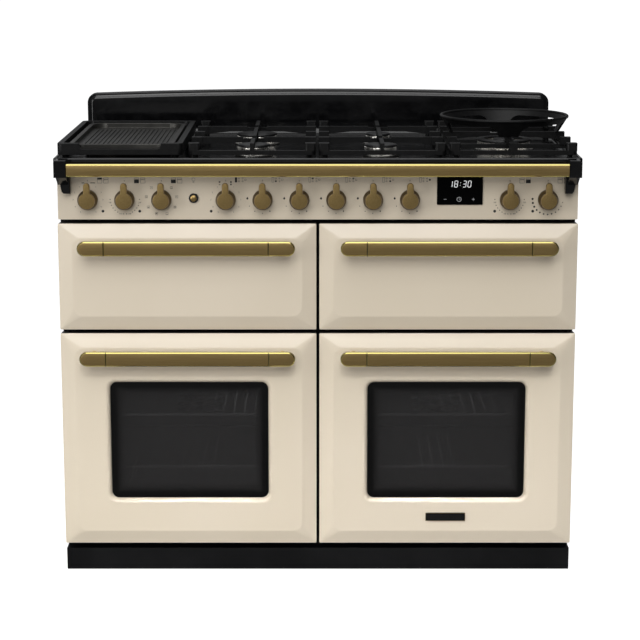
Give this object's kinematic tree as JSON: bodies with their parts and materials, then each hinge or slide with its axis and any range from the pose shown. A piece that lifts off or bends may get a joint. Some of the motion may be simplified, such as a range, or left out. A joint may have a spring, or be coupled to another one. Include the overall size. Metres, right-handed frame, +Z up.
{
  "type": "dual fuel range cooker",
  "caption": "Wide range cooker with enamelled doors, brass handles and handrail, gas hob, griddle, wok ring, dropping upper doors and side-hung oven doors.",
  "frame": {"origin": "on the floor, under the middle of the whole cooker with its handles", "axes": "+Z up, +X to the right as seen from the front, +Y to the back"},
  "size_m": [1.092, 0.658, 0.987],
  "materials": {
    "cream_enamel": "glossy cream vitreous enamel",
    "black_enamel": "gloss black enamel",
    "plinth_black": "satin black paint",
    "galvanised_steel": "plain zinc-coated sheet",
    "oven_enamel": "speckled dark grey vitreous enamel",
    "liner_enamel": "dark grey enamel",
    "brass": "satin lacquered brass",
    "window_glass": "smoked oven door glass",
    "clock_glass": "gloss black display window",
    "badge_black": "gloss black with a brass rim, bare",
    "switch_plastic": "moulded black",
    "gas_fittings": "as cast and drawn",
    "burner_alloy": "bright turned alloy",
    "burner_cap_enamel": "matt black enamel",
    "cast_iron": "matt black enamelled cast iron",
    "griddle_alloy": "grey ribbed non-stick plate",
    "chrome_wire": "bright plated wire and tray",
    "element_steel": "heat-dulled sheathed element",
    "motor_steel": "plain steel",
    "lamp_glass": "clear ribbed lamp cover",
    "seal_rubber": "heat-proof seal",
    "foot_steel": "zinc-plated"
  },
  "bodies": {
    "cooker": {"chassis": "galvanised_steel", "side_panels": "black_enamel", "back_panel": "galvanised_steel", "plinth": "plinth_black", "levelling_feet": "foot_steel", "splashback": "black_enamel", "hob_tray": "black_enamel", "handrail": "brass", "handrail_brackets": "black_enamel", "control_fascia": "cream_enamel", "clock_display": "clock_glass", "oven_switches": "switch_plastic", "gas_valves": "gas_fittings", "gas_pipes": "gas_fittings", "upper_oven_liners": "oven_enamel", "left_oven_liner": "oven_enamel", "right_oven_liner": "oven_enamel", "door_seals": "seal_rubber", "oven_shelves": "chrome_wire", "grill_pan": "chrome_wire", "heating_elements": "element_steel", "fan_motors": "motor_steel", "oven_lamps": "lamp_glass", "gas_burners": "burner_alloy", "burner_caps": "burner_cap_enamel"},
    "left_grill_door": {"left_grill_door_panel": "cream_enamel", "left_grill_door_liner": "liner_enamel", "left_grill_door_handle": "brass"},
    "right_top_door": {"right_top_door_panel": "cream_enamel", "right_top_door_liner": "liner_enamel", "right_top_door_handle": "brass"},
    "left_oven_door": {"left_oven_door_panel": "cream_enamel", "left_oven_door_liner": "liner_enamel", "left_oven_door_handle": "brass", "left_oven_door_glass": "window_glass"},
    "right_oven_door": {"right_oven_door_panel": "cream_enamel", "right_oven_door_liner": "liner_enamel", "right_oven_door_handle": "brass", "right_oven_door_glass": "window_glass", "badge_plate": "badge_black"},
    "grill_knob_body": {"grill_knob": "brass"},
    "left_oven_heat_knob_body": {"left_oven_heat_knob": "brass"},
    "left_oven_function_knob_body": {"left_oven_function_knob": "brass"},
    "griddle_knob_body": {"griddle_knob": "brass"},
    "front_left_burner_knob_body": {"front_left_burner_knob": "brass"},
    "rear_left_burner_knob_body": {"rear_left_burner_knob": "brass"},
    "rear_centre_burner_knob_body": {"rear_centre_burner_knob": "brass"},
    "front_centre_burner_knob_body": {"front_centre_burner_knob": "brass"},
    "wok_burner_knob_body": {"wok_burner_knob": "brass"},
    "right_oven_heat_knob_body": {"right_oven_heat_knob": "brass"},
    "right_top_oven_knob_body": {"right_top_oven_knob": "brass"},
    "light_button_body": {"light_button": "brass"},
    "left_fan_body": {"left_fan": "motor_steel"},
    "right_fan_body": {"right_fan": "motor_steel"},
    "griddle_frame_body": {"griddle_frame": "cast_iron"},
    "griddle_plate_body": {"griddle_plate": "griddle_alloy"},
    "left_pan_support_body": {"left_pan_support": "cast_iron"},
    "centre_pan_support_body": {"centre_pan_support": "cast_iron"},
    "right_pan_support_body": {"right_pan_support": "cast_iron"},
    "wok_ring_body": {"wok_ring": "cast_iron"}
  },
  "joints": [
    {"name": "left_grill_door_hinge", "type": "hinge", "parent": "cooker", "child": "left_grill_door", "pos_m": [-0.272, -0.27, 0.54], "axis": [1, 0, 0], "range_deg": [0, 90], "stiffness_Nm_per_rad": 3, "springref_deg": -45.84},
    {"name": "right_top_door_hinge", "type": "hinge", "parent": "cooker", "child": "right_top_door", "pos_m": [0.272, -0.27, 0.54], "axis": [1, 0, 0], "range_deg": [0, 90], "stiffness_Nm_per_rad": 3, "springref_deg": -45.84},
    {"name": "left_oven_door_hinge", "type": "hinge", "parent": "cooker", "child": "left_oven_door", "pos_m": [-0.523, -0.2595, 0.296], "axis": [0, 0, -1], "range_deg": [0, 110]},
    {"name": "right_oven_door_hinge", "type": "hinge", "parent": "cooker", "child": "right_oven_door", "pos_m": [0.523, -0.2595, 0.296], "axis": [0, 0, 1], "range_deg": [0, 110]},
    {"name": "grill_knob_turn", "type": "hinge", "parent": "cooker", "child": "grill_knob_body", "pos_m": [-0.477, -0.29, 0.809], "axis": [0, 1, 0], "range_deg": [-150, 150]},
    {"name": "left_oven_heat_knob_turn", "type": "hinge", "parent": "cooker", "child": "left_oven_heat_knob_body", "pos_m": [-0.4006, -0.29, 0.809], "axis": [0, 1, 0], "range_deg": [0, 270]},
    {"name": "left_oven_function_knob_turn", "type": "hinge", "parent": "cooker", "child": "left_oven_function_knob_body", "pos_m": [-0.3242, -0.29, 0.809], "axis": [0, 1, 0], "range_deg": [0, 315]},
    {"name": "griddle_knob_turn", "type": "hinge", "parent": "cooker", "child": "griddle_knob_body", "pos_m": [-0.191, -0.29, 0.809], "axis": [0, 1, 0], "range_deg": [-150, 150]},
    {"name": "front_left_burner_knob_turn", "type": "hinge", "parent": "cooker", "child": "front_left_burner_knob_body", "pos_m": [-0.1146, -0.29, 0.809], "axis": [0, -1, 0], "range_deg": [0, 225]},
    {"name": "rear_left_burner_knob_turn", "type": "hinge", "parent": "cooker", "child": "rear_left_burner_knob_body", "pos_m": [-0.0382, -0.29, 0.809], "axis": [0, -1, 0], "range_deg": [0, 225]},
    {"name": "rear_centre_burner_knob_turn", "type": "hinge", "parent": "cooker", "child": "rear_centre_burner_knob_body", "pos_m": [0.0382, -0.29, 0.809], "axis": [0, -1, 0], "range_deg": [0, 225]},
    {"name": "front_centre_burner_knob_turn", "type": "hinge", "parent": "cooker", "child": "front_centre_burner_knob_body", "pos_m": [0.1146, -0.29, 0.809], "axis": [0, -1, 0], "range_deg": [0, 225]},
    {"name": "wok_burner_knob_turn", "type": "hinge", "parent": "cooker", "child": "wok_burner_knob_body", "pos_m": [0.191, -0.29, 0.809], "axis": [0, -1, 0], "range_deg": [0, 225]},
    {"name": "right_oven_heat_knob_turn", "type": "hinge", "parent": "cooker", "child": "right_oven_heat_knob_body", "pos_m": [0.398, -0.29, 0.809], "axis": [0, 1, 0], "range_deg": [0, 270]},
    {"name": "right_top_oven_knob_turn", "type": "hinge", "parent": "cooker", "child": "right_top_oven_knob_body", "pos_m": [0.477, -0.29, 0.809], "axis": [0, 1, 0], "range_deg": [0, 270]},
    {"name": "light_button_push", "type": "slide", "parent": "cooker", "child": "light_button_body", "axis": [0, 1, 0], "range_m": [0, 0.003], "stiffness_N_per_m": 400, "springref_m": -0.002},
    {"name": "left_fan_spin", "type": "hinge", "parent": "cooker", "child": "left_fan_body", "pos_m": [-0.272, 0.18, 0.296], "axis": [0, 1, 0], "continuous": true},
    {"name": "right_fan_spin", "type": "hinge", "parent": "cooker", "child": "right_fan_body", "pos_m": [0.272, 0.18, 0.296], "axis": [0, 1, 0], "continuous": true},
    {"name": "griddle_frame_lift", "type": "slide", "parent": "cooker", "child": "griddle_frame_body", "axis": [0, 0, 1], "range_m": [0, 0.15]},
    {"name": "griddle_plate_lift", "type": "slide", "parent": "griddle_frame_body", "child": "griddle_plate_body", "axis": [0, 0, 1], "range_m": [0, 0.12]},
    {"name": "left_pan_support_lift", "type": "slide", "parent": "cooker", "child": "left_pan_support_body", "axis": [0, 0, 1], "range_m": [0, 0.15]},
    {"name": "centre_pan_support_lift", "type": "slide", "parent": "cooker", "child": "centre_pan_support_body", "axis": [0, 0, 1], "range_m": [0, 0.15]},
    {"name": "right_pan_support_lift", "type": "slide", "parent": "cooker", "child": "right_pan_support_body", "axis": [0, 0, 1], "range_m": [0, 0.15]},
    {"name": "wok_ring_lift", "type": "slide", "parent": "right_pan_support_body", "child": "wok_ring_body", "axis": [0, 0, 1], "range_m": [0, 0.12]}
  ]
}
